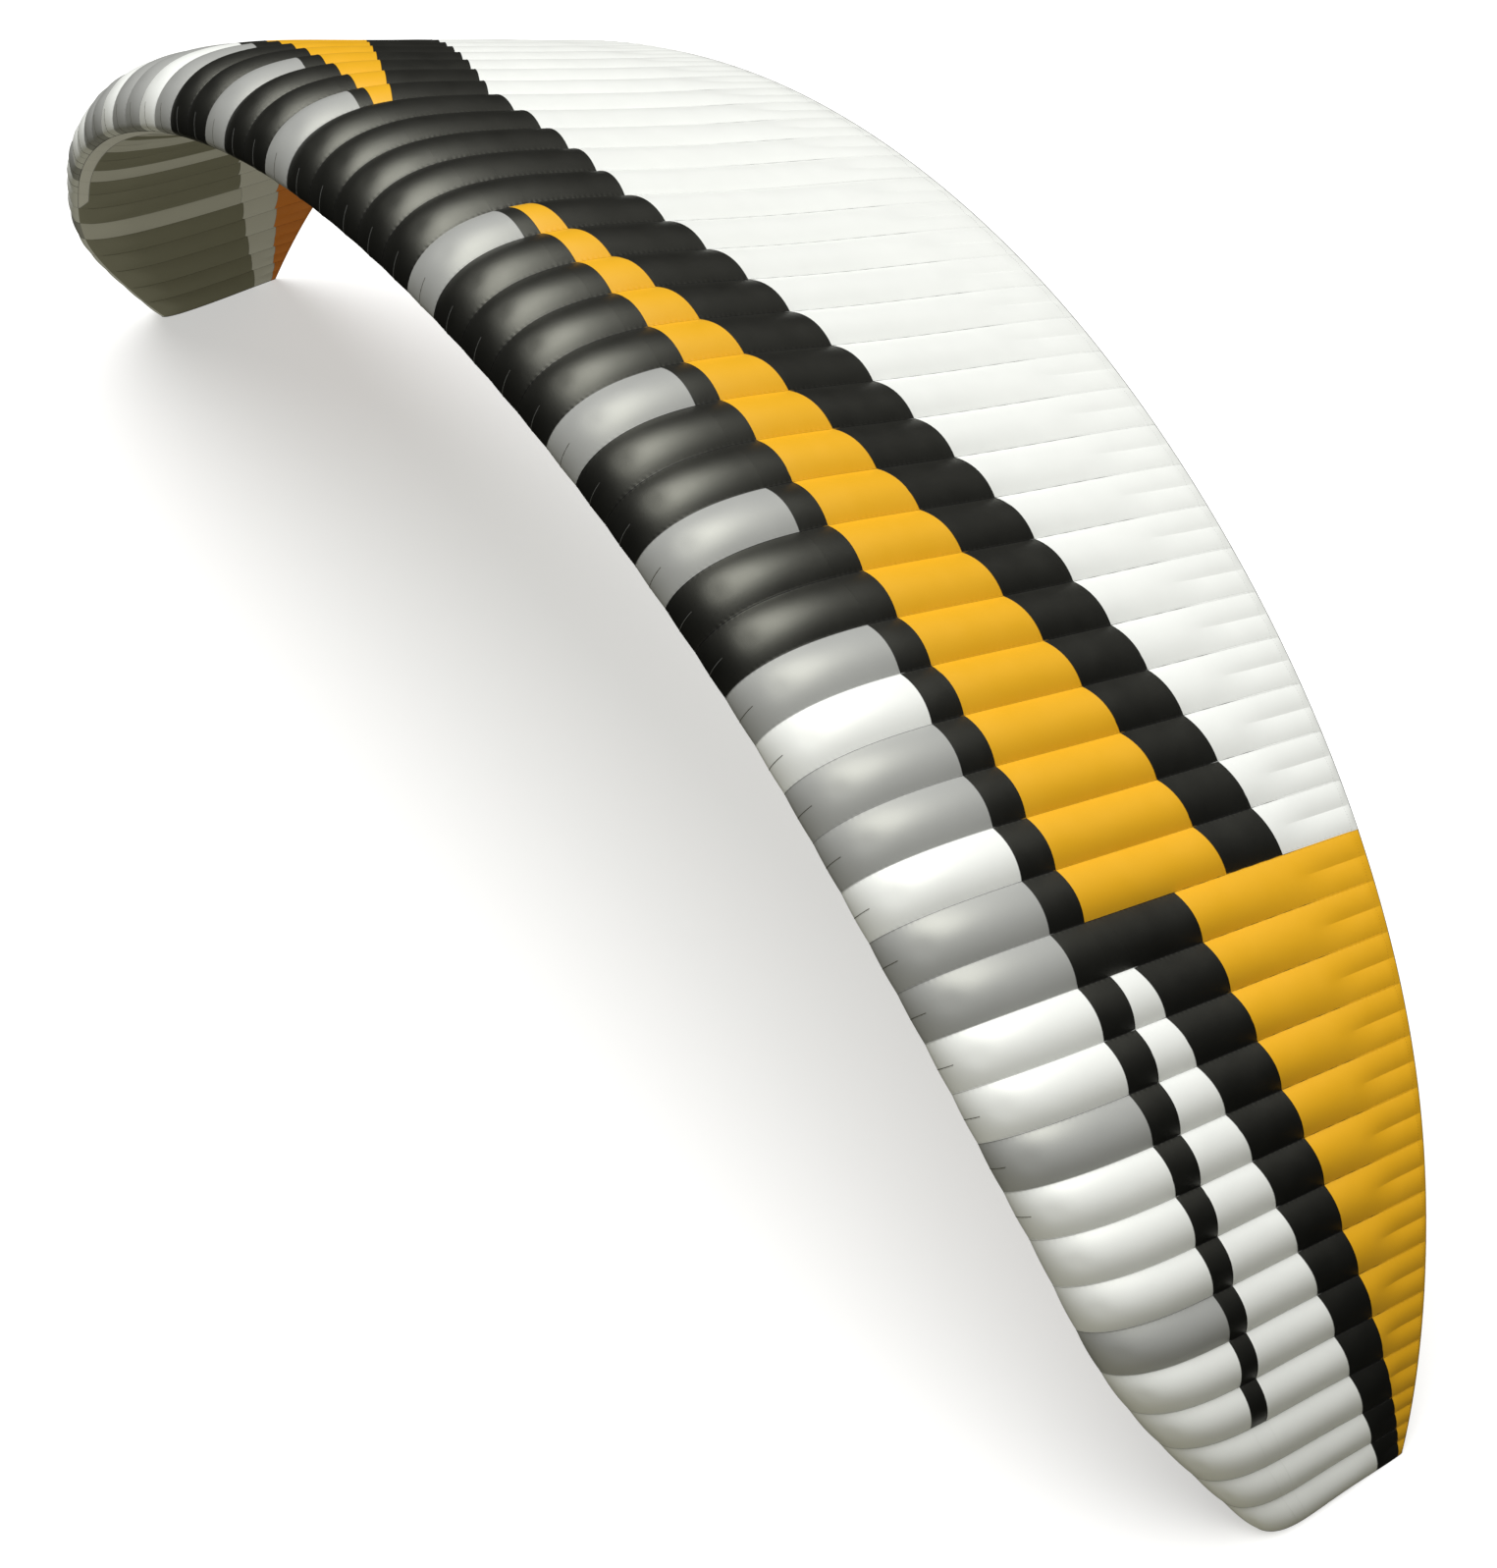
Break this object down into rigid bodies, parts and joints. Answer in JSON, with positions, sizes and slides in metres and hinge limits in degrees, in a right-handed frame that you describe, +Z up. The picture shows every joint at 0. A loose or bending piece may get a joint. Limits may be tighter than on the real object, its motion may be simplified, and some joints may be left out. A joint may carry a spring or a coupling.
{
  "type": "paraglider wing",
  "caption": "Inflated arched ram-air wing of sewn cloth cells with striped panels, standing on its two tips.",
  "frame": {"origin": "on the ground under the middle of the bounding box, midway between the two wing tips", "axes": "+X towards the right wing tip, -Y towards the nose, +Z up"},
  "size_m": [8.9908, 2.37, 3.1851],
  "materials": {
    "nose_cloth": "silver-grey coated ripstop, soft sheen",
    "black_cloth": "black coated ripstop, soft sheen",
    "yellow_cloth": "golden yellow coated ripstop",
    "white_cloth": "white coated ripstop",
    "band_cloth": "pale grey band at the cell mouths",
    "lower_cloth": "dark coated ripstop",
    "pale_lower_cloth": "pale grey coated ripstop"
  },
  "bodies": {
    "root": {"rightInner_nosePanels": "nose_cloth", "rightInner_frontStripe": "black_cloth", "rightInner_middleStripe": "yellow_cloth", "rightInner_rearStripe": "black_cloth", "rightInner_trailingPanels": "white_cloth", "rightInner_intakeBand": "band_cloth", "rightInner_lowerPanels": "lower_cloth", "rightInner_lowerStripe": "pale_lower_cloth", "rightInner_lowerTrailing": "white_cloth", "rightMid_nosePanels": "nose_cloth", "rightMid_frontStripe": "black_cloth", "rightMid_middleStripe": "yellow_cloth", "rightMid_rearStripe": "black_cloth", "rightMid_trailingPanels": "white_cloth", "rightMid_intakeBand": "band_cloth", "rightMid_lowerPanels": "lower_cloth", "rightMid_lowerStripe": "pale_lower_cloth", "rightMid_lowerTrailing": "white_cloth", "rightOuter_nosePanels": "nose_cloth", "rightOuter_frontStripe": "black_cloth", "rightOuter_middleStripe": "white_cloth", "rightOuter_rearStripe": "black_cloth", "rightOuter_trailingPanels": "yellow_cloth", "rightOuter_intakeBand": "band_cloth", "rightOuter_lowerPanels": "lower_cloth", "rightOuter_lowerStripe": "pale_lower_cloth", "rightOuter_lowerTrailing": "yellow_cloth", "rightTip_closingPanel": "black_cloth", "leftInner_nosePanels": "nose_cloth", "leftInner_frontStripe": "black_cloth", "leftInner_middleStripe": "yellow_cloth", "leftInner_rearStripe": "black_cloth", "leftInner_trailingPanels": "white_cloth", "leftInner_intakeBand": "band_cloth", "leftInner_lowerPanels": "lower_cloth", "leftInner_lowerStripe": "pale_lower_cloth", "leftInner_lowerTrailing": "white_cloth", "leftMid_nosePanels": "nose_cloth", "leftMid_frontStripe": "black_cloth", "leftMid_middleStripe": "yellow_cloth", "leftMid_rearStripe": "black_cloth", "leftMid_trailingPanels": "white_cloth", "leftMid_intakeBand": "band_cloth", "leftMid_lowerPanels": "lower_cloth", "leftMid_lowerStripe": "pale_lower_cloth", "leftMid_lowerTrailing": "white_cloth", "leftOuter_nosePanels": "nose_cloth", "leftOuter_frontStripe": "black_cloth", "leftOuter_middleStripe": "white_cloth", "leftOuter_rearStripe": "black_cloth", "leftOuter_trailingPanels": "yellow_cloth", "leftOuter_intakeBand": "band_cloth", "leftOuter_lowerPanels": "lower_cloth", "leftOuter_lowerStripe": "pale_lower_cloth", "leftOuter_lowerTrailing": "yellow_cloth", "leftTip_closingPanel": "black_cloth"}
  },
  "joints": []
}
